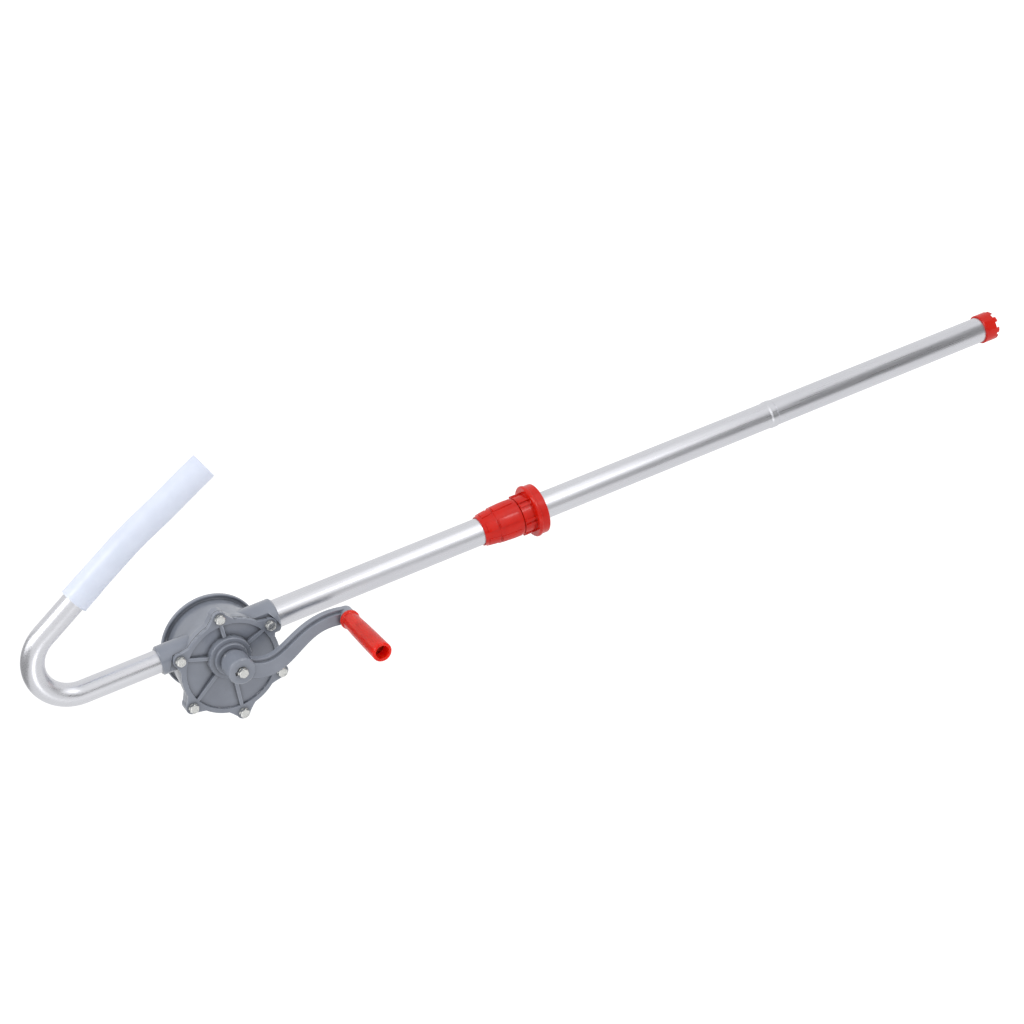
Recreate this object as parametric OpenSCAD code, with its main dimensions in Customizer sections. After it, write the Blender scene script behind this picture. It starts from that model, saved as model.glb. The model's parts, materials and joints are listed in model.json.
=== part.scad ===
// Hand-cranked rotary vane pump on a suction tube, with a threaded adapter for a drum's bung.
// Millimetres. Origin: centre of the adapter's seat on the bung, on the suction tube's axis.
// +Z runs up the tube to the pump, -Y is the crank side, +X is the side the spout bends over.

/* [Suction tube] */
// Outside diameter of the suction tube
tube_od = 32; // [30:0.5:33]
// Wall of the suction tube
tube_wall = 1.5; // [1.2:0.1:2]
// Height of the pump's inlet face above the bung seat
pump_lift = 326; // [180:1:420]
// Depth of the swaged tube joint below the bung seat
joint_drop = 331; // [150:1:400]
// Depth of the foot strainer's upper edge below the bung seat
foot_drop = 648; // [500:1:900]

/* [Bung adapter] */
// Outside diameter of the male bung thread
thread_od = 59.6; // [55:0.1:64]
// Length of the male bung thread
thread_len = 10; // [8:0.5:20]
// Diameter of the seat flange
flange_od = 62; // [60:0.5:80]
// Thickness of the seat flange
flange_t = 4.5; // [3:0.5:8]
// Height of the lock nut
nut_len = 49.5; // [48:0.5:60]

/* [Pump casing] */
// Radius of the circle of cover screws
screw_circle_r = 61.5; // [60:0.5:62]
// Number of cover screws
screw_count = 6; // [6:1:6]
// Radius of the casing's rear flange
disc_r = 58.3; // [57:0.1:62]
// Radius of the casing's wall at its rear end
wall_r = 52.5; // [52:0.5:54]
// Distance from the suction tube's axis back to the casing's rear face
disc_back = 48; // [36:1:50]
// Radius of the pumping chamber
chamber_r = 42; // [40:0.5:42]
// Offset of the rotor from the chamber's centre
eccentricity = 8; // [5:0.5:8]

/* [Crank] */
// Drop of the grip below the crank shaft at rest
crank_drop = 130; // [110:1:150]
// Sideways offset of the grip from the crank shaft at rest
crank_side = 11.5; // [8:0.5:14]
// Length of the turning grip
grip_len = 88.5; // [80:0.5:110]

/* [Spout and hose] */
// Outside diameter of the spout tube
spout_od = 26; // [24:0.5:28]
// Radius of the spout's bend, at its centre line
bend_r = 44; // [40:1:60]
// Angle that the spout turns through
bend_turn = 148; // [140:1:170]
// Outside diameter of the hose
hose_od = 32; // [31:0.5:36]

/* [Hidden] */
$fn = 96;

// Clearances: parts that run in one another, parts pushed together, and parts kept apart
run = 0.08;
push = 0.03;
apart = 0.3;

// Suction tube
tube_r = tube_od / 2;
tube_in_r = tube_r - tube_wall;
bead_r = tube_r + 0.9;
bead_h = 10;
neck_len = 30;
foot_z = -foot_drop;
foot_r = tube_r + 2.2;
foot_len = 15;
foot_socket = 11;
foot_teeth = 8;
tooth_len = 6;
plate_t = 1.5;

// Bung adapter and its lock nut
seat_r = flange_od / 2;
barrel_r = tube_r + 6.6;
barrel_top = flange_t + 14;
rib_h = 1.7;
neck_r = tube_r + 2.9;
neck_top = barrel_top + 25.5;
cone_r = tube_r + 2;
nut_base = barrel_top + apart;
nut_top = barrel_top + nut_len;
nut_roof = nut_top - 12.5;
seal_z = flange_t + 5;
seal_minor = 1.5;

// Casing: the chamber's depth runs from front_y to chamber_back
shaft_z = pump_lift + 66.5;
outlet_z = pump_lift + 139;
shaft_x = -16;
case_x = -29.5;
chamber_x = shaft_x - eccentricity;
front_y = -14;
chamber_back = disc_back - 6;
gasket_t = 0.8;
cover_back = front_y - gasket_t;
cover_face = cover_back - 4.5;
pan_face = cover_face + 2.5;
rim_r = screw_circle_r - 4;
pan_r = rim_r - 6.5;
lug_r = 8;
inlet_boss_r = tube_r + 3.3;
outlet_boss_r = spout_od / 2 + 3.5;
inlet_socket = 9.5;
inlet_neck_r = tube_r - 3.5;
outlet_socket = 15;
port_r = 8;
port_y = 3;
shaft_r = 6;
bush_r = 9;
packing_r = 10;
gland_r = 13;
step_1_y = -25.5;
step_2_y = -29;
gland_y = -33;

// Cover screws, M6 with 10 mm heads
screw_r = 3;
head_af = 10;
head_h = 4;
washer_t = 1.2;
screw_depth = 7;

// Rotor and vanes
rotor_r = chamber_r - eccentricity - apart;
rotor_front = front_y + 0.4;
rotor_back = chamber_back - 0.4;
vane_t = 6;
slot_floor = 8;
vane_foot = 10.5;
vane_tip = rotor_r - 0.2;

// Crank: hub and arm along the shaft, Y measured like the casing
hub_r = 15.5;
hub_back = -36;
hub_front = -60;
arm_back = -47;
arm_step = -54;
arm_front = -58;
arm_wide = 25;
arm_slim = 19;
end_r = 10;
end_back = -46;
spindle_r = 4;
grip_back = hub_front - apart;
grip_front = grip_back - grip_len;
bearing_len = 28;
retainer_y = grip_back - bearing_len - apart;
// Guide points of the arm's S curve, X and Z from the shaft
ARM = [[-3, -8], [-31, -55], [30, -70], [crank_side, -crank_drop]];
arm_steps = 28;

// Spout and hose: the bend starts at bend_z, and the hose's mouth is mouth_run past the bend
spout_in_r = spout_od / 2 - 1.5;
bend_z = outlet_z + 86;
lean = 180 - bend_turn;
mouth_run = 48.5;
hose_grip = 25;
bend_end = [bend_r + bend_r * cos(lean), bend_z + bend_r * sin(lean)];
mouth = bend_end + mouth_run * [sin(lean), -cos(lean)];
// Route of the hose in the spout's plane, X and Z from the hose's mouth
HOSE = [[0, 0], [25, -40], [47, -77], [66, -115], [83, -147], [96, -172]];
hose_sides = 12;

BODY = "slategray";
STEEL = "silver";
RED = "red";
BRASS = "goldenrod";
RUBBER = "dimgray";

// Solid disc on the Y axis, from y_a to the larger y_b
module disc_y(r, y_a, y_b, sides = $fn) {
    translate([0, y_b, 0]) rotate([90, 0, 0]) cylinder(r = r, h = y_b - y_a, $fn = sides);
}

// Turned shape on the Y axis: the outline's second coordinate runs towards the crank
module turned_y() {
    rotate([90, 0, 0]) rotate_extrude() children();
}

// Plain ring on the Z axis, from z_a to the larger z_b
module ring_z(r_in, r_out, z_a, z_b) {
    translate([0, 0, z_a]) difference() {
        cylinder(r = r_out, h = z_b - z_a);
        translate([0, 0, -1]) cylinder(r = r_in, h = z_b - z_a + 2);
    }
}

module o_ring(r, minor) {
    rotate_extrude() translate([r, 0]) circle(r = minor, $fn = 32);
}

module at_case() translate([case_x, 0, shaft_z]) children();

module at_shaft() translate([shaft_x, 0, shaft_z]) children();

module at_grip() translate([shaft_x + crank_side, 0, shaft_z - crank_drop]) children();

module at_screws() {
    at_case() for (k = [0 : screw_count - 1])
        rotate([0, 60 * k, 0]) translate([screw_circle_r, 0, 0]) children();
}

// ---- Bung adapter ----

module bung_adapter() {
    color(RED) difference() {
        union() {
            rotate_extrude() polygon([
                [5, -thread_len], [thread_od / 2 - 1, -thread_len],
                [thread_od / 2, -thread_len + 1], [thread_od / 2, 0],
                [seat_r - 0.6, 0], [seat_r, 0.6], [seat_r, flange_t - 1.5],
                [seat_r - 1.5, flange_t], [barrel_r, flange_t], [barrel_r, barrel_top],
                [neck_r, barrel_top], [neck_r, neck_top - 1], [neck_r - 0.5, neck_top], [5, neck_top]
            ]);
            // six pairs of grip ribs along the barrel
            for (k = [0 : 5], side = [-1, 1])
                rotate([0, 0, 60 * k + 30 + 7.5 * side])
                    translate([barrel_r - 1, -1.5, flange_t - 0.5])
                        cube([1 + rib_h, 3, barrel_top - flange_t]);
        }
        translate([0, 0, -thread_len - 1]) cylinder(r = tube_r + run, h = neck_top + thread_len + 2);
        translate([0, 0, neck_top - 6]) cylinder(r1 = tube_r + run, r2 = cone_r, h = 6.01);
        translate([0, 0, seal_z]) ring_z(tube_r - 1, tube_r + 3.2, 0, 3.6);
    }
}

module adapter_seal() {
    color(RUBBER) translate([0, 0, seal_z + 1.8]) o_ring(tube_r + run + seal_minor, seal_minor);
}

// Split ring that the nut squeezes onto the tube
module collet() {
    color("ivory") difference() {
        rotate_extrude() polygon([
            [tube_r + run, neck_top - 4.6], [tube_r + 0.3, neck_top - 4.6],
            [cone_r - 0.25, neck_top + apart], [neck_r, neck_top + apart],
            [neck_r, nut_roof - apart], [tube_r + run, nut_roof - apart]
        ]);
        translate([tube_r - 2, -1, neck_top - 6]) cube([8, 2, 20]);
    }
}

// Outline of the nut's outside, r over Z, moved out by extra
function nut_outline(extra) = [
    for (p = [[20.9, nut_base], [21.9, nut_base + 0.6], [22.3, nut_base + 2.2], [22.2, nut_base + 14],
              [21.6, nut_base + 24], [21, nut_base + 30.6], [20.3, nut_base + 31], [20.1, nut_base + 33],
              [19, nut_base + 41], [17.4, nut_top]])
        [p[0] + extra, p[1]]
];

module lock_nut() {
    color(RED) difference() {
        union() {
            rotate_extrude() polygon(concat([[5, nut_base]], nut_outline(0), [[5, nut_top]]));
            // six pads, each cut in two by the groove
            intersection() {
                rotate_extrude() polygon(concat([[15, nut_base]], nut_outline(1.1), [[15, nut_top]]));
                for (k = [0 : 5]) rotate([0, 0, 60 * k]) translate([12, -5.5, nut_base + 5]) cube([14, 11, 40]);
                difference() {
                    cylinder(r = 30, h = nut_top);
                    translate([0, 0, nut_base + 29.5]) cylinder(r = 31, h = 3);
                }
            }
        }
        translate([0, 0, nut_base - 1]) cylinder(r = neck_r + run, h = nut_roof - nut_base + 1);
        cylinder(r = tube_r + 0.35, h = nut_top + 1);
    }
}

// ---- Suction tube and foot ----

// Its top is necked down to enter the casing
module upper_tube() {
    top = pump_lift + inlet_socket - 2.5;
    shoulder = pump_lift - 0.1;
    low = -joint_drop - bead_h / 2;
    color(STEEL) rotate_extrude() polygon([
        [tube_in_r, low], [bead_r - 0.9, low], [bead_r, low + 0.9], [bead_r, low + bead_h - 2],
        [tube_r, low + bead_h], [tube_r, shoulder], [inlet_neck_r, shoulder], [inlet_neck_r, top],
        [inlet_neck_r - 1.3, top], [inlet_neck_r - 1.3, shoulder - 3], [tube_in_r, shoulder - 6]
    ]);
}

module lower_tube() {
    shoulder = -joint_drop - bead_h / 2 - 0.1;
    low = foot_z - foot_socket + plate_t + 0.4;
    neck = tube_in_r - 0.06;
    color(STEEL) rotate_extrude() polygon([
        [neck - 1.3, shoulder + neck_len], [neck, shoulder + neck_len], [neck, shoulder],
        [tube_r - 0.6, shoulder], [tube_r, shoulder - 0.6], [tube_r, low],
        [tube_in_r, low], [tube_in_r, shoulder - 6], [neck - 1.3, shoulder - 3]
    ]);
}

module foot_strainer() {
    low = foot_z - foot_len;
    color(RED) difference() {
        rotate_extrude() polygon([
            [tube_r + push, foot_z], [foot_r - 0.7, foot_z], [foot_r, foot_z - 0.7],
            [foot_r, low - tooth_len + 2.5], [foot_r - 1.8, low - tooth_len],
            [tube_in_r + 0.7, low - tooth_len], [tube_in_r, low],
            [tube_in_r, foot_z - foot_socket], [tube_r + push, foot_z - foot_socket]
        ]);
        // gaps between the teeth
        for (k = [0 : foot_teeth - 1])
            rotate([0, 0, 360 / foot_teeth * (k + 0.5)])
                translate([tube_in_r - 4, -3.6, low - tooth_len - 1])
                    cube([12, 7.2, tooth_len]);
    }
}

module strainer_plate() {
    color(STEEL) translate([0, 0, foot_z - foot_socket + 0.1]) difference() {
        cylinder(r = tube_r - 0.2, h = plate_t);
        translate([0, 0, -1]) cylinder(r = 1.8, h = plate_t + 2, $fn = 24);
        for (k = [0 : 5]) rotate([0, 0, 60 * k]) translate([5.4, 0, -1]) cylinder(r = 1.8, h = plate_t + 2, $fn = 24);
        for (k = [0 : 11]) rotate([0, 0, 30 * k]) translate([10.6, 0, -1]) cylinder(r = 1.8, h = plate_t + 2, $fn = 24);
    }
}

// ---- Pump casing ----

// Lug round each cover screw, faired into the rim, from y_a to the larger y_b
module lugs(y_a, y_b) {
    at_screws() {
        disc_y(lug_r, y_a, y_b, 48);
        translate([-screw_circle_r, y_b, 0]) rotate([90, 0, 0]) linear_extrude(y_b - y_a) polygon([
            [rim_r - 4, -17], [rim_r + 0.6, -12.5], [screw_circle_r + 2, -lug_r + 0.2],
            [screw_circle_r + 2, lug_r - 0.2], [rim_r + 0.6, 12.5], [rim_r - 4, 17]
        ]);
    }
}

module housing() {
    color(BODY) difference() {
        union() {
            // wall, with draft, between the rear flange's raised lip and the cover's seat,
            // left long for the face cut below
            at_case() turned_y() polygon([
                [0, -disc_back], [disc_r - 0.8, -disc_back], [disc_r, -disc_back + 0.8],
                [disc_r, -disc_back + 4.2], [disc_r - 0.6, -disc_back + 4.8], [disc_r - 1.8, -disc_back + 4.8],
                [disc_r - 2.4, -disc_back + 3.4], [wall_r + 1.4, -disc_back + 3.4], [wall_r + 0.4, -disc_back + 4],
                [wall_r, -disc_back + 5.2], [rim_r - 1, -front_y - 11], [rim_r, -front_y - 6.3],
                [rim_r, -front_y + 5], [0, -front_y + 5]
            ]);
            lugs(front_y - 5, front_y + 9);
            // boss of the rear bearing
            at_shaft() turned_y() polygon([
                [0, -disc_back - 13], [13, -disc_back - 13], [15, -disc_back - 11],
                [17, -disc_back + 1], [0, -disc_back + 1]
            ]);
            // inlet and outlet bosses
            translate([0, 0, pump_lift]) rotate_extrude() polygon([
                [0, 0], [inlet_boss_r - 2, 0], [inlet_boss_r, 2], [inlet_boss_r, 56], [0, 56]
            ]);
            translate([0, 0, outlet_z]) rotate_extrude() polygon([
                [0, 0], [outlet_boss_r - 1.5, 0], [outlet_boss_r, -1.5], [outlet_boss_r, -52], [0, -52]
            ]);
        }
        // face that the cover and its gasket lie on
        at_case() disc_y(screw_circle_r + lug_r + 0.5, -40, front_y);
        translate([chamber_x, 0, shaft_z]) disc_y(chamber_r, -20, chamber_back);
        // port passages and tube sockets
        translate([0, port_y, pump_lift + 5]) cylinder(r = port_r, h = 45);
        translate([0, port_y, outlet_z - 50]) cylinder(r = port_r, h = 45);
        translate([0, 0, pump_lift - 1]) cylinder(r = inlet_neck_r + push, h = inlet_socket + 1);
        translate([0, 0, outlet_z - outlet_socket]) cylinder(r = spout_od / 2 + push, h = outlet_socket + 1);
        at_shaft() disc_y(bush_r + push, 0, disc_back + 10);
        at_screws() disc_y(screw_r + push, front_y - 1, front_y + screw_depth, 32);
    }
}

module inlet_seal() {
    color(RUBBER) translate([0, 0, pump_lift + inlet_socket - 1.2]) o_ring(inlet_neck_r - 1.4, 1.1);
}

module outlet_seal() {
    color(RUBBER) translate([0, 0, outlet_z - outlet_socket + 1.5]) o_ring(spout_od / 2 - 1.5, 1.25);
}

module rear_bush() {
    color(BRASS) at_shaft() difference() {
        disc_y(bush_r, chamber_back + 0.2, disc_back + 9.5);
        disc_y(shaft_r + run, 0, disc_back + 11);
    }
}

module cover_gasket() {
    color(RUBBER) difference() {
        union() {
            at_case() disc_y(rim_r, cover_back, front_y);
            lugs(cover_back, front_y);
        }
        translate([chamber_x, 0, shaft_z]) disc_y(chamber_r, cover_back - 1, front_y + 1);
        at_screws() disc_y(screw_r + 0.2, cover_back - 1, front_y + 1, 32);
    }
}

module cover() {
    color(BODY) difference() {
        union() {
            at_case() turned_y() polygon([
                [0, -cover_back], [rim_r, -cover_back], [rim_r, -cover_face - 0.8], [rim_r - 0.8, -cover_face],
                [pan_r + 1, -cover_face], [pan_r, -pan_face], [0, -pan_face]
            ]);
            lugs(cover_face, cover_back);
            // stepped boss round the shaft
            at_shaft() turned_y() polygon([
                [0, -cover_back], [25, -cover_back], [24.5, -step_1_y - 1], [23.5, -step_1_y], [19.5, -step_1_y],
                [19, -step_2_y - 1], [18, -step_2_y], [0, -step_2_y]
            ]);
            // ribs from the boss to the screws
            for (k = [0 : screw_count - 1]) {
                to = [case_x - shaft_x + screw_circle_r * cos(60 * k), screw_circle_r * sin(60 * k)];
                at_shaft() rotate([0, -atan2(to[1], to[0]), 0])
                    translate([0, 0, -2]) linear_extrude(4) polygon([
                        [15, cover_face + 3], [norm(to) - 5, cover_face + 3], [norm(to) - 5, cover_face + 0.4],
                        [26, cover_face - 2.4], [15, cover_face - 2.4]
                    ]);
            }
        }
        at_shaft() {
            disc_y(shaft_r + 0.2, -40, 0);
            disc_y(bush_r + push, -23, 0);
            disc_y(packing_r + push, -40, -24);
        }
        at_screws() disc_y(screw_r + 0.25, cover_face - 1, cover_back + 1, 32);
    }
}

module front_bush() {
    color(BRASS) at_shaft() difference() {
        disc_y(bush_r, -22.9, cover_back - 0.1);
        disc_y(shaft_r + run, -30, 0);
    }
}

module shaft_packing() {
    color(RUBBER) at_shaft() difference() {
        disc_y(packing_r, step_2_y - 1, -24.1);
        disc_y(shaft_r + run, -30, 0);
    }
}

module gland_ring() {
    color(BODY) at_shaft() difference() {
        turned_y() polygon([
            [3, -step_2_y + 1.1], [packing_r, -step_2_y + 1.1],
            [packing_r, -step_2_y + 0.1], [gland_r, -step_2_y + 0.1],
            [gland_r, -gland_y - 1], [gland_r - 1, -gland_y], [3, -gland_y]
        ]);
        disc_y(shaft_r + apart, -40, 0);
    }
}

// Hexagon head with a turned chamfer on its outer face, from y_a to the larger y_b
module hex_head(y_a, y_b) {
    intersection() {
        disc_y(head_af / sqrt(3), y_a, y_b, 6);
        turned_y() polygon([[0, -y_b - 1], [6.3, -y_b - 1], [6.3, -y_a - 1], [4.6, -y_a], [0, -y_a]]);
    }
}

module cover_screws() {
    top = cover_face - washer_t;
    color(STEEL) at_screws() {
        difference() {
            rotate([0, 15, 0]) hex_head(top - head_h, top);
            translate([0, top - head_h - 1, 0]) disc_y(3.4, 0, 1.4, 32);
        }
        disc_y(screw_r, top - head_h + 0.4, front_y + screw_depth - 0.5, 32);
    }
}

module cover_washers() {
    color(STEEL) at_screws() difference() {
        disc_y(5.5, cover_face - washer_t, cover_face, 40);
        disc_y(screw_r + 0.2, cover_face - washer_t - 1, cover_face + 1, 32);
    }
}

// ---- Spout and hose ----

// The spout's route as a solid rod of radius r: each straight length laps a hair over the bend
module spout_rod(r, extra = 0) {
    foot = outlet_z - outlet_socket + 3 - extra;
    lap = 1;
    translate([0, 0, foot]) cylinder(r = r, h = bend_z - foot + lap);
    translate([bend_r, 0, bend_z]) rotate([90, 0, 0]) rotate([0, 0, lean])
        rotate_extrude(angle = bend_turn) translate([bend_r, 0]) circle(r = r - 0.05);
    translate([bend_end[0], 0, bend_end[1]]) rotate([0, bend_turn, 0])
        translate([0, 0, -lap]) cylinder(r = r, h = mouth_run + hose_grip + lap + extra);
}

module spout_tube() {
    color(STEEL) difference() {
        spout_rod(spout_od / 2);
        spout_rod(spout_in_r, 1);
    }
}

// Direction of the hose at ring i of its route, X and Z
function hose_way(i) =
    let (d = i == 0 ? [sin(lean), -cos(lean)] : HOSE[min(i + 1, len(HOSE) - 1)] - HOSE[i - 1])
    d / norm(d);

function hose_ring(i) =
    let (c = mouth + HOSE[i], d = hose_way(i), r = hose_od / 2)
    [for (k = [0 : hose_sides - 1])
        let (a = 360 / hose_sides * k)
        [c[0] - d[1] * r * cos(a), r * sin(a), c[1] + d[0] * r * cos(a)]];

module hose() {
    rings = len(HOSE);
    n = hose_sides;
    color("lavender") polyhedron(
        points = [for (i = [0 : rings - 1]) each hose_ring(i)],
        faces = concat(
            [[for (k = [0 : n - 1]) k]],
            [for (i = [0 : rings - 2], k = [0 : n - 1])
                [i * n + k, (i + 1) * n + k, (i + 1) * n + (k + 1) % n, i * n + (k + 1) % n]],
            [[for (k = [n - 1 : -1 : 0]) (rings - 1) * n + k]]
        ),
        convexity = 4
    );
}

// ---- Rotor, vanes and shaft ----

module drive_shaft() {
    color(STEEL) at_shaft() difference() {
        disc_y(shaft_r, hub_front + 1.5, disc_back + 8);
        // keyways for the rotor and the crank
        translate([-2, rotor_front + 7, 4]) cube([4, 14, 5]);
        translate([-2, hub_front + 4, 4]) cube([4, 14, 5]);
        disc_y(screw_r + push, hub_front, hub_front + 16, 32);
    }
}

module rotor() {
    color(STEEL) at_shaft() difference() {
        disc_y(rotor_r, rotor_front, rotor_back);
        disc_y(shaft_r + push, rotor_front - 1, rotor_back + 1);
        translate([-2.05, rotor_front + 6.9, 0]) cube([4.1, 14.2, 7.6]);
        for (side = [0, 180]) rotate([0, side, 0])
            translate([-vane_t / 2 - 0.1, rotor_front - 1, slot_floor])
                cube([vane_t + 0.2, rotor_back - rotor_front + 2, rotor_r]);
    }
}

// The key lies under the upper vane's slot
module rotor_key() {
    color(STEEL) at_shaft() translate([-1.97, rotor_front + 7.05, 4.05]) cube([3.94, 13.9, 3.45]);
}

// Bowed leaf springs at the bottom of both slots
module vane_springs() {
    bow_r = 60;
    color(STEEL) at_shaft() for (side = [0, 180]) rotate([0, side, 0])
        translate([2.5, (rotor_front + rotor_back) / 2, slot_floor + 2.1 - bow_r]) rotate([0, -90, 0]) linear_extrude(5)
            intersection() {
                difference() {
                    circle(r = bow_r, $fn = 180);
                    circle(r = bow_r - 0.5, $fn = 180);
                }
                translate([bow_r - 3, -11]) square([4, 22]);
            }
}

module vane() {
    at_shaft() difference() {
        union() {
            translate([-vane_t / 2, rotor_front + 0.2, vane_foot])
                cube([vane_t, rotor_back - rotor_front - 0.4, vane_tip - vane_foot - vane_t / 2]);
            translate([0, 0, vane_tip - vane_t / 2]) disc_y(vane_t / 2, rotor_front + 0.2, rotor_back - 0.2, 48);
        }
    }
}

module upper_vane() color("tan") vane();

module lower_vane() color("tan") at_shaft() rotate([0, 180, 0]) translate([-shaft_x, 0, -shaft_z]) vane();

// ---- Crank ----

// Point and direction of the arm's centre line at t, 0 to 1
function arm_at(t) =
    pow(1 - t, 3) * ARM[0] + 3 * t * pow(1 - t, 2) * ARM[1] + 3 * t * t * (1 - t) * ARM[2] + pow(t, 3) * ARM[3];

function arm_way(t) =
    let (d = arm_at(min(t + 0.01, 1)) - arm_at(max(t - 0.01, 0)))
    d / norm(d);

// One side of the arm, the given share of its width less cut away from the centre line
function arm_side(side, cut) = [
    for (i = [0 : arm_steps])
        let (t = i / arm_steps, w = arm_wide + (arm_slim - arm_wide) * min(1, 1.3 * t) - cut, d = arm_way(t))
        arm_at(t) + side * w / 2 * [-d[1], d[0]]
];

module arm_plate(cut, y_a, y_b) {
    one = arm_side(1, cut);
    other = arm_side(-1, cut);
    translate([0, y_b, 0]) rotate([90, 0, 0]) linear_extrude(y_b - y_a)
        polygon(concat(one, [for (i = [arm_steps : -1 : 0]) other[i]]));
}

module crank_arm() {
    color(BODY) at_shaft() difference() {
        union() {
            turned_y() polygon([
                [0, -hub_back], [hub_r - 1, -hub_back], [hub_r, -hub_back + 1],
                [hub_r, -hub_front - 1.5], [hub_r - 1.5, -hub_front], [0, -hub_front]
            ]);
            arm_plate(0, arm_step, arm_back);
            arm_plate(7, arm_front, arm_step);
            translate([crank_side, 0, -crank_drop]) turned_y() polygon([
                [0, -end_back], [end_r - 1, -end_back], [end_r, -end_back + 1],
                [end_r, -hub_front - 1], [end_r - 1, -hub_front], [0, -hub_front]
            ]);
        }
        disc_y(shaft_r + push, hub_front - 1, hub_back + 1);
        translate([-2.05, hub_front - 1, 0]) cube([4.1, 19.1, 8.1]);
        translate([crank_side, 0, -crank_drop]) disc_y(spindle_r + push, hub_front - 1, end_back + 1, 48);
    }
}

module crank_key() {
    color(STEEL) at_shaft() translate([-1.97, hub_front + 4.05, 4.05]) cube([3.94, 13.9, 3.95]);
}

module crank_washer() {
    color(STEEL) at_shaft() difference() {
        disc_y(5.5, hub_front - washer_t, hub_front, 40);
        disc_y(screw_r + 0.2, hub_front - washer_t - 1, hub_front + 1, 32);
    }
}

module crank_bolt() {
    top = hub_front - washer_t;
    color(STEEL) at_shaft() {
        hex_head(top - head_h, top);
        disc_y(screw_r, top - 0.1, hub_front + 15, 32);
    }
}

module grip_spindle() {
    color(STEEL) at_grip() {
        disc_y(spindle_r, retainer_y - 4, end_back + 0.1, 48);
        turned_y() polygon([
            [0, -end_back - 2.5], [4, -end_back - 2.5], [6.5, -end_back - 0.8], [6.5, -end_back], [0, -end_back]
        ]);
    }
}

module grip_retainer() {
    color(STEEL) at_grip() difference() {
        disc_y(6.6, retainer_y - 1.6, retainer_y, 48);
        disc_y(spindle_r + push, retainer_y - 3, retainer_y + 1, 48);
    }
}

module grip() {
    color(RED) at_grip() translate([0, grip_back, 0]) turned_y() polygon([
        [spindle_r + run, 0], [10.4, 0], [11.2, 0.8], [11.2, 4.2], [10.4, 5], [9.6, 5.4],
        [9.7, 10], [10.4, 30], [10.9, 60], [11.1, grip_len - 1.5], [10.3, grip_len],
        [8, grip_len], [7.3, grip_len - 1], [7.3, bearing_len], [spindle_r + run, bearing_len]
    ]);
}

// Closes the grip's bore a little inside its open end
module grip_plug() {
    color(RED) at_grip() turned_y() polygon([
        [0, -grip_front - 16], [7, -grip_front - 16], [7.27, -grip_front - 15.7],
        [7.27, -grip_front - 13.3], [7, -grip_front - 13], [0, -grip_front - 13]
    ]);
}

bung_adapter();
adapter_seal();
collet();
lock_nut();
upper_tube();
lower_tube();
foot_strainer();
strainer_plate();
housing();
inlet_seal();
outlet_seal();
rear_bush();
cover_gasket();
cover();
front_bush();
shaft_packing();
gland_ring();
cover_screws();
cover_washers();
spout_tube();
hose();
drive_shaft();
rotor();
rotor_key();
vane_springs();
upper_vane();
lower_vane();
crank_arm();
crank_key();
crank_washer();
crank_bolt();
grip_spindle();
grip_retainer();
grip();
grip_plug();
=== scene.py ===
import json
import math

import bpy
from mathutils import Matrix, Vector


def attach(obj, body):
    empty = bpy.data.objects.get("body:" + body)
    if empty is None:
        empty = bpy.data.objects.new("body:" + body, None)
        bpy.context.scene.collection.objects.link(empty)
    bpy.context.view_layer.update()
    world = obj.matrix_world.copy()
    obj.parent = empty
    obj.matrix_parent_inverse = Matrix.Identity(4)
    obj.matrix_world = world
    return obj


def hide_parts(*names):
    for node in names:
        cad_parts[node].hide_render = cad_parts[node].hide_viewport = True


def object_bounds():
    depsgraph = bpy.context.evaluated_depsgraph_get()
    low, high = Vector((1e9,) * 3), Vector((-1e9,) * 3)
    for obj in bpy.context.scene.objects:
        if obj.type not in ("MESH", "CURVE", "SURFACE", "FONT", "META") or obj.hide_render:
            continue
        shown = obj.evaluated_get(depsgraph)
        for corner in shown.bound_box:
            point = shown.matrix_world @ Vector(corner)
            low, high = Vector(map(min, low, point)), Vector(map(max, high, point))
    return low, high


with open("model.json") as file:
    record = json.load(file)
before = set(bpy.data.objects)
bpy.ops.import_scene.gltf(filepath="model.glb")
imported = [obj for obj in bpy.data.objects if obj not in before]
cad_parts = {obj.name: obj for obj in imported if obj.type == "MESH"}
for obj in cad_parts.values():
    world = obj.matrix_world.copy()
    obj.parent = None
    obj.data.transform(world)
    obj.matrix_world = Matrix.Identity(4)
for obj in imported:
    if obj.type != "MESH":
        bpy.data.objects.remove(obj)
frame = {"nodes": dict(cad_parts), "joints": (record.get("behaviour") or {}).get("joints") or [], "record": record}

# Lengths are in metres, in the frame's axes: Z runs up the suction tube, and the crank is towards -Y.
CAD_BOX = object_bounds()
NODES = frame["nodes"]
WHITE = (1.0, 1.0, 1.0, 1.0)
BLACK = (0.0, 0.0, 0.0, 1.0)


def link_new(name, data):
    """A new object in the scene that holds the given mesh, light or camera."""
    obj = bpy.data.objects.new(name, data)
    bpy.context.scene.collection.objects.link(obj)
    return obj


# ---- Camera, at the photograph's viewing angle ----

CAMERA_AZIMUTH = math.radians(31.04)
CAMERA_ELEVATION = math.radians(20.0)
CAMERA_ROLL = math.radians(248.05)
CAMERA_TARGET = Vector((0.00775, 0, 0.0235))
CAMERA_DISTANCE = 2.5069
LENS_MM = 76.54
SENSOR_MM = 36
CLIP_END = 300


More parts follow.
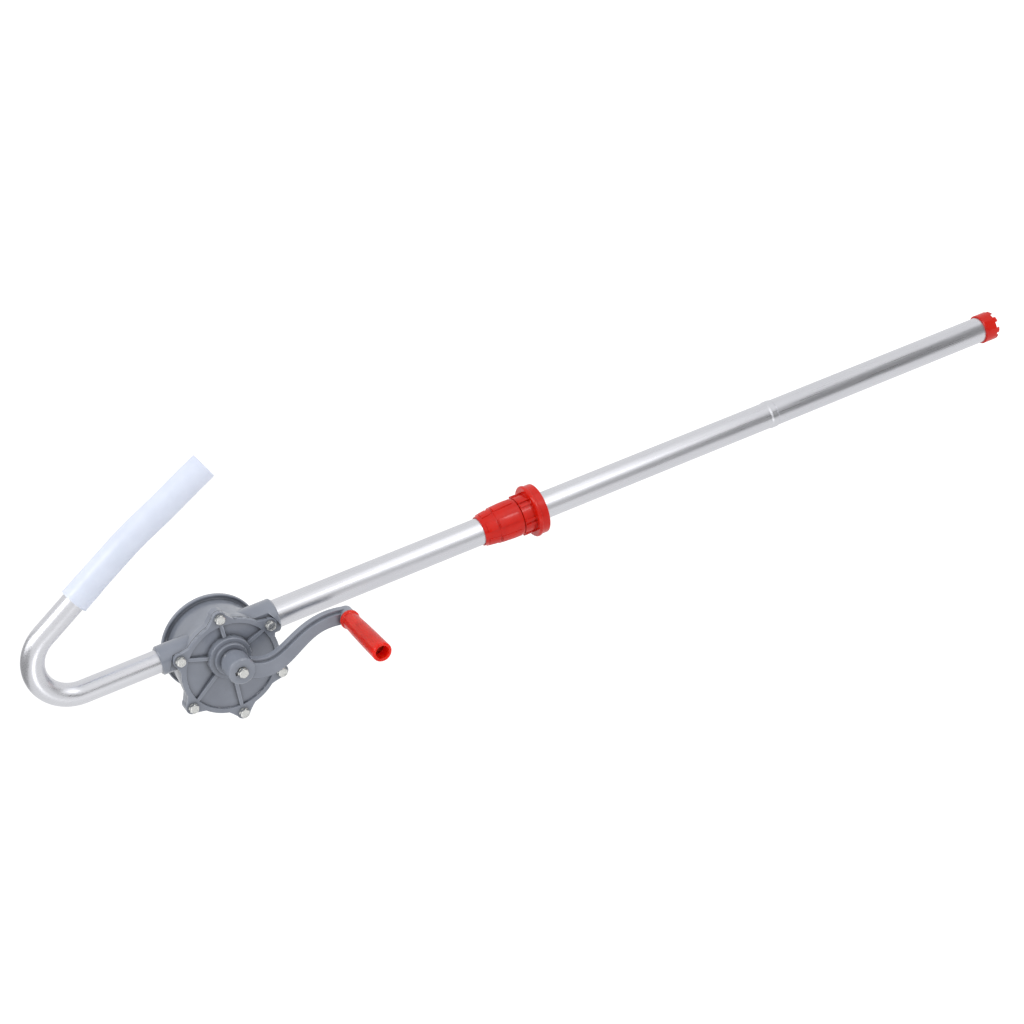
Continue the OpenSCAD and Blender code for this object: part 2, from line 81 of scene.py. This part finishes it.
def make_camera():
    az, el, roll = CAMERA_AZIMUTH, CAMERA_ELEVATION, CAMERA_ROLL
    back = Vector((math.sin(az) * math.cos(el), -math.cos(az) * math.cos(el), math.sin(el)))
    level = Vector((math.cos(az), math.sin(az), 0))
    upright = back.cross(level)
    right = level * math.cos(roll) + upright * math.sin(roll)
    top = -level * math.sin(roll) + upright * math.cos(roll)
    where = CAMERA_TARGET + back * CAMERA_DISTANCE
    data = bpy.data.cameras.new("camera")
    data.sensor_width = SENSOR_MM
    data.lens = LENS_MM
    data.clip_end = CLIP_END
    cam = link_new("camera", data)
    cam.matrix_world = Matrix((
        (right.x, top.x, back.x, where.x),
        (right.y, top.y, back.y, where.y),
        (right.z, top.z, back.z, where.z),
        (0, 0, 0, 1)))
    bpy.context.scene.camera = cam


make_camera()


# ---- Mesh helpers ----

def add_mesh(name, verts, faces, body, material):
    """A smooth-shaded piece that rides on a body and takes the given material."""
    mesh = bpy.data.meshes.new(name)
    mesh.from_pydata([tuple(v) for v in verts], [], faces)
    mesh.validate()
    mesh.update()
    mesh.polygons.foreach_set("use_smooth", [True] * len(mesh.polygons))
    mesh.materials.append(material)
    obj = link_new(name, mesh)
    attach(obj, body)
    return obj


def wall_faces(loops, sides):
    """Quads that join each loop of points to the next one, and the last loop to the first."""
    faces = []
    for i in range(loops):
        here, there = i * sides, (i + 1) % loops * sides
        for k in range(sides):
            n = (k + 1) % sides
            faces.append((here + k, here + n, there + n, there + k))
    return faces


def spline(points, steps):
    """Smooth points through the given ones: a Catmull-Rom curve with steps points per span."""
    pts = [Vector(p) for p in points]
    pts = [2 * pts[0] - pts[1]] + pts + [2 * pts[-1] - pts[-2]]
    out = []
    for i in range(1, len(pts) - 2):
        a, b, c, d = pts[i - 1:i + 3]
        for k in range(steps):
            t = k / steps
            out.append(0.5 * ((2 * b) + (c - a) * t + (2 * a - 5 * b + 4 * c - d) * t * t
                              + (3 * b - a - 3 * c + d) * t * t * t))
    out.append(pts[-2])
    return out


# ---- Hose: a cord that hangs stiffly from the spout ----

# the spout: radius and height of its bend, tilt off straight down, and straight run to the hose's mouth
BEND_R, BEND_Z, SPOUT_TILT, SPOUT_RUN = 0.044, 0.551, math.radians(32), 0.0485
MOUTH = Vector((BEND_R + BEND_R * math.cos(SPOUT_TILT) + SPOUT_RUN * math.sin(SPOUT_TILT), 0,
                BEND_Z + BEND_R * math.sin(SPOUT_TILT) - SPOUT_RUN * math.cos(SPOUT_TILT)))
# the hose's centreline from its mouth to its cut end, along X and Z
HOSE_ROUTE = [MOUTH + Vector((x, 0, z)) for x, z in (
    (0, 0), (0.025, -0.040), (0.047, -0.077), (0.066, -0.115), (0.083, -0.147), (0.096, -0.172))]
PATH_STEPS, MESH_STEPS = 6, 16
HOSE_SIDES = 72
OUTER_R, INNER_R = 0.01565, 0.0126
# it is stretched over the spout up to here, widens by the gains, and narrows again over the eases
STRETCHED_TO = 0.030
OUTER_GAIN, OUTER_EASE = 0.00035, 0.007
INNER_GAIN, INNER_EASE = 0.00045, 0.005
# the mouth flares by these amounts over these lengths
OUTER_FLARE, OUTER_FLARE_RUN = 0.0004, 0.005
INNER_FLARE, INNER_FLARE_RUN = 0.0007, 0.004
CUT_CHAMFER = 0.0004


def hose_outside(s):
    """Outer radius at the distance s from the mouth."""
    over = max(0.0, min(1.0, (STRETCHED_TO - s) / OUTER_EASE))
    over = over * over * (3 - 2 * over)
    flare = max(0.0, 1 - s / OUTER_FLARE_RUN) ** 2
    return OUTER_R + OUTER_GAIN * over + OUTER_FLARE * flare


def hose_inside(s):
    """Inner radius at the distance s from the mouth."""
    over = max(0.0, min(1.0, (STRETCHED_TO - s) / INNER_EASE))
    flare = max(0.0, 1 - s / INNER_FLARE_RUN) ** 2
    return INNER_R + INNER_GAIN * over + INNER_FLARE * flare


def hose_stations():
    """Centre, direction across, direction forward and distance from the mouth, along the hose."""
    centres = spline(HOSE_ROUTE, MESH_STEPS)
    last = len(centres) - 1
    stations, run = [], 0.0
    for i, centre in enumerate(centres):
        if i:
            run += (centre - centres[i - 1]).length
        forward = (centres[min(i + 1, last)] - centres[max(i - 1, 0)]).normalized()
        across = Vector((0, 1, 0)).cross(forward).normalized()
        stations.append((centre, across, forward, run))
    return stations


def hose_ring(station, r, push=0.0):
    """A loop of points of radius r round a station, pushed forward along the hose."""
    centre, across, forward, _ = station
    side = Vector((0, 1, 0))
    angles = [2 * math.pi * k / HOSE_SIDES for k in range(HOSE_SIDES)]
    return [centre + forward * push + (across * math.cos(t) + side * math.sin(t)) * r for t in angles]


def make_hose(material):
    stations = hose_stations()
    first, last, between = stations[0], stations[-1], stations[1:-1]
    edge, end = CUT_CHAMFER, stations[-1][3]
    # round the wall: outside from mouth to end, over the cut end, back inside, and over the mouth's lip
    loops = [hose_ring(first, hose_outside(0) - edge), hose_ring(first, hose_outside(0), edge)]
    loops += [hose_ring(station, hose_outside(station[3])) for station in between]
    loops += [hose_ring(last, hose_outside(end), -edge), hose_ring(last, hose_outside(end) - edge)]
    loops += [hose_ring(last, hose_inside(end) + edge), hose_ring(last, hose_inside(end), -edge)]
    loops += [hose_ring(station, hose_inside(station[3])) for station in reversed(between)]
    loops += [hose_ring(first, hose_inside(0), edge), hose_ring(first, hose_inside(0) + edge)]
    verts = [v for loop in loops for v in loop]
    faces = wall_faces(len(loops), HOSE_SIDES)
    hose = add_mesh("hose_tube", verts, faces, "pump", material)
    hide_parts("hose")


# ---- Materials ----

class Look:
    """A Principled material with colour, roughness and bump from procedural textures in object space."""

    def __init__(self, name, metallic=0.0, **fixed):
        self.mat = bpy.data.materials.new(name)
        self.mat.use_nodes = True
        self.tree = self.mat.node_tree
        self.bsdf = self.tree.nodes["Principled BSDF"]
        self.bsdf.inputs["Metallic"].default_value = metallic
        for key, value in fixed.items():
            self.bsdf.inputs[key.replace("_", " ")].default_value = value
        self.coords = self.tree.nodes.new("ShaderNodeTexCoord").outputs["Object"]
        self.height = None

    def node(self, kind, **props):
        n = self.tree.nodes.new(kind)
        for key, value in props.items():
            setattr(n, key, value)
        return n

    def link(self, a, b):
        self.tree.links.new(a, b)

    def stretched(self, scale):
        n = self.node("ShaderNodeMapping")
        n.inputs["Scale"].default_value = scale
        self.link(self.coords, n.inputs["Vector"])
        return n.outputs["Vector"]

    def noise(self, scale, detail=4.0, rough=0.55, at=None):
        n = self.node("ShaderNodeTexNoise")
        n.inputs["Scale"].default_value = scale
        n.inputs["Detail"].default_value = detail
        n.inputs["Roughness"].default_value = rough
        self.link(at or self.coords, n.inputs["Vector"])
        return n.outputs["Fac"]

    def lines(self, scale):
        """Noise drawn out into fine lines by a different scale along each axis."""
        return self.noise(1.0, 4, 0.6, self.stretched(scale))

    def ramp(self, value, stops):
        n = self.node("ShaderNodeValToRGB")
        while len(n.color_ramp.elements) < len(stops):
            n.color_ramp.elements.new(0.5)
        for e, (pos, colour) in zip(n.color_ramp.elements, stops):
            e.position = pos
            e.color = (*colour, 1.0)
        self.link(value, n.inputs["Fac"])
        return n.outputs["Color"]

    def span(self, value, low, high, from_low=0.3, from_high=0.7):
        n = self.node("ShaderNodeMapRange")
        for key, x in (("From Min", from_low), ("From Max", from_high), ("To Min", low), ("To Max", high)):
            n.inputs[key].default_value = x
        self.link(value, n.inputs["Value"])
        return n.outputs["Result"]

    def product(self, a, b):
        n = self.node("ShaderNodeMath", operation="MULTIPLY")
        self.link(a, n.inputs[0])
        self.link(b, n.inputs[1])
        return n.outputs["Value"]

    def open_space(self, distance, inside=False):
        """1 where nothing is near within the distance, less in corners, or less at edges if inside."""
        n = self.node("ShaderNodeAmbientOcclusion", inside=inside, samples=8)
        n.inputs["Distance"].default_value = distance
        return n.outputs["AO"]

    def scaled(self, colour, factor):
        n = self.node("ShaderNodeVectorMath", operation="SCALE")
        self.link(colour, n.inputs[0])
        self.link(factor, n.inputs["Scale"])
        return n.outputs["Vector"]

    def bump(self, value, distance, strength=1.0):
        """Adds a bump on top of the ones set before."""
        n = self.node("ShaderNodeBump")
        n.inputs["Distance"].default_value = distance
        n.inputs["Strength"].default_value = strength
        self.link(value, n.inputs["Height"])
        if self.height is not None:
            self.link(self.height, n.inputs["Normal"])
        self.height = n.outputs["Normal"]
        self.link(self.height, self.bsdf.inputs["Normal"])

    def colour(self, value):
        self.link(value, self.bsdf.inputs["Base Color"])

    def mottled(self, noise, dark, light):
        """Colour that wanders between two tones."""
        self.colour(self.ramp(noise, [(0.3, dark), (0.7, light)]))

    def roughness(self, value):
        self.link(value, self.bsdf.inputs["Roughness"])


def body_paint():
    m = Look("body_paint_enamel", IOR=1.5, Coat_Weight=0.6, Coat_Roughness=0.12)
    paint = m.ramp(m.noise(38, 5), [
        (0.30, (0.172, 0.188, 0.228)), (0.55, (0.192, 0.210, 0.252)), (0.80, (0.214, 0.232, 0.276))])
    # painted shade darkens the corners and recesses, and a painted highlight lightens the edges
    painted_corner_shade = m.span(m.open_space(0.006), 0.45, 1.0, 0.45, 0.95)
    painted_edge_highlight = m.span(m.open_space(0.0014, inside=True), 1.55, 1.0, 0.35, 0.85)
    m.colour(m.scaled(paint, m.product(painted_corner_shade, painted_edge_highlight)))
    m.roughness(m.span(m.noise(160, 5), 0.28, 0.40))
    m.bump(m.noise(70, 3), 0.00035, 0.3)
    m.bump(m.noise(620, 4), 0.00006, 0.5)
    return m.mat


def red_plastic():
    m = Look("red_moulded_plastic", IOR=1.5, Specular_IOR_Level=0.32,
             Subsurface_Weight=0.06, Subsurface_Scale=0.003)
    m.bsdf.inputs["Subsurface Radius"].default_value = (1.0, 0.25, 0.1)
    m.mottled(m.noise(55, 4), (0.47, 0.006, 0.002), (0.54, 0.009, 0.002))
    m.roughness(m.span(m.noise(240, 4), 0.14, 0.24))
    m.bump(m.noise(90, 2), 0.0002, 0.25)
    m.bump(m.noise(1500, 3), 0.00002, 0.5)
    return m.mat


def red_grip():
    """The same plastic in a thin wall: light comes through into the grip's hollow end."""
    m = Look("red_translucent_grip", IOR=1.5, Specular_IOR_Level=0.32,
             Subsurface_Weight=0.85, Subsurface_Scale=0.02)
    m.bsdf.inputs["Subsurface Radius"].default_value = (1.0, 0.10, 0.04)
    m.mottled(m.noise(55, 4), (0.50, 0.010, 0.003), (0.56, 0.014, 0.003))
    m.roughness(m.span(m.noise(240, 4), 0.14, 0.24))
    m.bump(m.noise(1500, 3), 0.00002, 0.5)
    return m.mat


def tube_aluminium():
    m = Look("satin_tube_aluminium", metallic=1.0)
    drawn = m.lines((900, 900, 14))
    m.mottled(m.noise(26, 4, 0.5, m.stretched((1, 1, 0.25))), (0.70, 0.705, 0.745), (0.76, 0.765, 0.80))
    m.roughness(m.span(drawn, 0.24, 0.40))
    m.bump(drawn, 0.000012, 0.6)
    return m.mat


def turned_metal(name, tone_scale, dark, light, groove_scale, smooth, rough):
    """Metal with fine turning grooves round an axis along Y."""
    m = Look(name, metallic=1.0)
    m.mottled(m.noise(tone_scale, 4), dark, light)
    grooves = m.lines((120, groove_scale, 120))
    m.roughness(m.span(grooves, smooth, rough))
    m.bump(grooves, 0.00001, 0.6)
    return m.mat


def bright_steel():
    m = Look("bright_zinc_plating", metallic=1.0)
    m.mottled(m.noise(420, 3), (0.62, 0.63, 0.62), (0.80, 0.80, 0.78))
    m.roughness(m.span(m.noise(900, 4), 0.18, 0.34))
    m.bump(m.noise(1300, 3), 0.00003, 0.6)
    return m.mat


def bush_brass():
    m = Look("turned_bronze", metallic=1.0)
    m.mottled(m.noise(150, 4), (0.56, 0.36, 0.13), (0.66, 0.44, 0.18))
    m.roughness(m.span(m.noise(700, 4), 0.28, 0.45))
    m.bump(m.noise(1200, 3), 0.00002, 0.6)
    return m.mat


def rubber():
    m = Look("nitrile_rubber")
    m.mottled(m.noise(300, 4), (0.018, 0.018, 0.019), (0.032, 0.032, 0.033))
    m.roughness(m.span(m.noise(800, 4), 0.55, 0.75))
    m.bump(m.noise(1600, 3), 0.00003, 0.6)
    return m.mat


def gasket_fibre():
    m = Look("gasket_fibre")
    m.mottled(m.noise(900, 5), (0.030, 0.028, 0.026), (0.075, 0.068, 0.060))
    m.roughness(m.span(m.noise(900, 4), 0.75, 0.92))
    m.bump(m.noise(2000, 4), 0.00005, 0.8)
    return m.mat


def nylon():
    m = Look("natural_nylon", Subsurface_Weight=0.2, Subsurface_Scale=0.003)
    m.mottled(m.noise(120, 4), (0.70, 0.68, 0.60), (0.78, 0.76, 0.69))
    m.roughness(m.span(m.noise(500, 4), 0.36, 0.50))
    m.bump(m.noise(1200, 3), 0.00002, 0.6)
    return m.mat


def vane_resin():
    m = Look("fabric_filled_resin")
    warp = m.noise(1.0, 2, 0.5, m.stretched((2400, 300, 300)))
    weft = m.noise(1.0, 2, 0.5, m.stretched((300, 2400, 2400)))
    weave = m.product(warp, weft)
    m.colour(m.ramp(weave, [(0.12, (0.10, 0.045, 0.018)), (0.42, (0.22, 0.115, 0.05))]))
    m.roughness(m.span(weave, 0.4, 0.6, 0.1, 0.5))
    m.bump(weave, 0.00003, 0.6)
    return m.mat


def hose_plastic():
    m = Look("milky_hose", IOR=1.49, Subsurface_Weight=0.35, Subsurface_Scale=0.004)
    m.bsdf.inputs["Subsurface Radius"].default_value = (1.0, 0.9, 0.95)
    m.mottled(m.noise(45, 4), (0.56, 0.60, 0.70), (0.605, 0.645, 0.745))
    m.roughness(m.span(m.noise(160, 4), 0.28, 0.40))
    m.bump(m.noise(60, 2), 0.0002, 0.3)
    return m.mat


LOOKS = {
    "body_paint": body_paint(),
    "red_plastic": red_plastic(),
    "tube_aluminium": tube_aluminium(),
    "bright_steel": bright_steel(),
    "steel": turned_metal("turned_steel", 120, (0.42, 0.42, 0.43), (0.55, 0.55, 0.56), 3000, 0.22, 0.42),
    "rotor_alloy": turned_metal("turned_cast_aluminium", 140, (0.55, 0.55, 0.56), (0.64, 0.64, 0.65),
                                2400, 0.30, 0.48),
    "bush_brass": bush_brass(),
    "rubber": rubber(),
    "gasket_fibre": gasket_fibre(),
    "nylon": nylon(),
    "vane_resin": vane_resin(),
    "hose_plastic": hose_plastic(),
}
GRIP_LOOK = red_grip()

for part in frame["record"]["subparts"]:
    in_grip = part["node"] in ("grip", "grip_plug")
    materials = NODES[part["node"]].data.materials
    materials.clear()
    materials.append(GRIP_LOOK if in_grip else LOOKS[part["material_slot"]])

make_hose(LOOKS["hose_plastic"])


# ---- Softened edges: castings and mouldings have small radii, turned and pressed parts smaller ones ----

EDGE_RADII = {
    "housing": 0.0007, "cover": 0.0006, "gland_ring": 0.0005, "crank_arm": 0.0008, "lock_nut": 0.0004,
    "bung_adapter": 0.0004, "foot_strainer": 0.0005, "grip": 0.0005, "cover_screws": 0.0002,
    "crank_bolt": 0.0002,
}
SHARP_ANGLE = math.radians(32)
WELD_DISTANCE = 0.000002
FACE_WEIGHT = 60


def soften(obj, radius):
    weld = obj.modifiers.new("join", "WELD")
    weld.merge_threshold = WELD_DISTANCE
    bevel = obj.modifiers.new("radius", "BEVEL")
    bevel.width = radius
    bevel.segments = 2
    bevel.limit_method = "ANGLE"
    bevel.angle_limit = SHARP_ANGLE
    bevel.use_clamp_overlap = True
    normals = obj.modifiers.new("normals", "WEIGHTED_NORMAL")
    normals.keep_sharp = False
    normals.weight = FACE_WEIGHT


for name, radius in EDGE_RADII.items():
    soften(NODES[name], radius)


# ---- Floor and world ----

FLOOR_R, FLOOR_SIDES = 60, 96
FLOOR_GAP = 0.002
FLOOR_GLOW = 0.30
WORLD_SEEN, WORLD_LIGHT = 1.05, 0.86


def make_floor():
    # just below the foot when the pump is slid all the way down
    height = next(joint for joint in frame["joints"] if joint["name"] == "pump_height")
    floor_z = CAD_BOX[0].z + min(height["range_m"]) - FLOOR_GAP
    angles = [2 * math.pi * k / FLOOR_SIDES for k in range(FLOOR_SIDES)]
    ring = [(FLOOR_R * math.cos(t), FLOOR_R * math.sin(t), floor_z) for t in angles]
    mesh = bpy.data.meshes.new("floor")
    mesh.from_pydata(ring, [], [tuple(range(FLOOR_SIDES))])
    m = Look("pale_floor")
    m.mottled(m.noise(3, 3), (0.93, 0.93, 0.93), (0.95, 0.95, 0.95))
    m.roughness(m.span(m.noise(20, 3), 0.85, 0.95))
    m.bsdf.inputs["Emission Color"].default_value = WHITE
    m.bsdf.inputs["Emission Strength"].default_value = FLOOR_GLOW
    mesh.materials.append(m.mat)
    floor = link_new("floor", mesh)
    floor.visible_glossy = False


def make_world():
    """A white surround, bright as a backdrop and a little dimmer as a light source."""
    world = bpy.data.worlds.new("studio")
    world.use_nodes = True
    tree = world.node_tree
    back = tree.nodes["Background"]
    back.inputs["Color"].default_value = WHITE
    path = tree.nodes.new("ShaderNodeLightPath")
    level = tree.nodes.new("ShaderNodeMapRange")
    level.inputs["To Min"].default_value = WORLD_LIGHT
    level.inputs["To Max"].default_value = WORLD_SEEN
    tree.links.new(path.outputs["Is Camera Ray"], level.inputs["Value"])
    tree.links.new(level.outputs["Result"], back.inputs["Strength"])
    bpy.context.scene.world = world
    bpy.context.scene.view_settings.view_transform = "Standard"


# ---- Lights ----

# name, where it is, what it points at, side of its square, and watts
SOFTBOXES = (
    ("key", (1.9, -0.4, 2.4), (0, 0, 0.2), 0.8, 26),
    ("fill", (-1.2, -2.6, 1.2), (0, 0, 0.1), 1.0, 6),
    ("low", (1.32, -1.23, -0.48), (0, 0, 0.12), 0.22, 2.4),
    ("rim", (0.9, 0.5, 2.2), (0, 0, 0.4), 0.5, 7),
)


def softbox(name, where, target, side, power):
    data = bpy.data.lights.new(name, "AREA")
    data.shape = "RECTANGLE"
    data.size, data.size_y = side, side
    data.energy = power
    obj = link_new(name, data)
    obj.location = where
    obj.rotation_euler = (Vector(where) - Vector(target)).to_track_quat("Z", "Y").to_euler()


# ---- Reflector cards: dark flags and a bright strip, seen only where the satin tubes reflect them ----

# a card's corners are given forward of the pump, sideways and up, where forward faces the photo's side
FORWARD = Vector((math.sin(CAMERA_AZIMUTH), -math.cos(CAMERA_AZIMUTH), 0))
SIDEWAYS = Vector((-FORWARD.y, FORWARD.x, 0))
UP = Vector((0, 0, 1))
UPRIGHT_AT = 0.8
OVERHEAD_AT = 1.3


def card(name, corners, colour, strength):
    places = [tuple(FORWARD * f + SIDEWAYS * a + UP * h) for f, a, h in corners]
    mesh = bpy.data.meshes.new(name)
    mesh.from_pydata(places, [], [tuple(range(len(corners)))])
    m = Look(name, Roughness=1.0)
    m.bsdf.inputs["Base Color"].default_value = BLACK
    m.bsdf.inputs["Emission Color"].default_value = colour
    m.bsdf.inputs["Emission Strength"].default_value = strength
    mesh.materials.append(m.mat)
    obj = link_new(name, mesh)
    obj.visible_camera = obj.visible_diffuse = obj.visible_shadow = obj.visible_transmission = False


def upright_card(name, corners, colour, strength):
    card(name, [(UPRIGHT_AT, a, h) for a, h in corners], colour, strength)


def make_cards():
    upright_card("flag_tube", [
        (-0.80, -0.18), (-0.36, -0.09), (-0.16, -0.45), (0.0, -0.62), (-0.92, -0.62)], WHITE, 0.48)
    upright_card("flag_lower_tube", [
        (-0.92, -0.62), (0.0, -0.62), (0.30, -0.81), (0.55, -1.05), (0.60, -1.4), (-0.75, -1.4),
        (-0.80, -0.85)], WHITE, 0.2)
    upright_card("flag_spout", [(-0.50, 0.06), (-0.22, 0.06), (-0.22, 0.45), (-0.50, 0.45)], BLACK, 0.0)
    upright_card("strip_bright", [
        (-0.11, 0.0), (-0.11, -0.10), (0.10, -0.42), (0.25, -0.52), (1.386, -0.80), (1.5, -0.70),
        (1.03, -0.20), (0.9, 0.0)], WHITE, 1.4)
    card("flag_bend", [(f, a, OVERHEAD_AT) for f, a in ((-1.4, -0.4), (-1.4, 1.1), (0.5, 1.1), (0.5, -0.4))],
         WHITE, 0.35)


make_floor()
make_world()
for box in SOFTBOXES:
    softbox(*box)
make_cards()
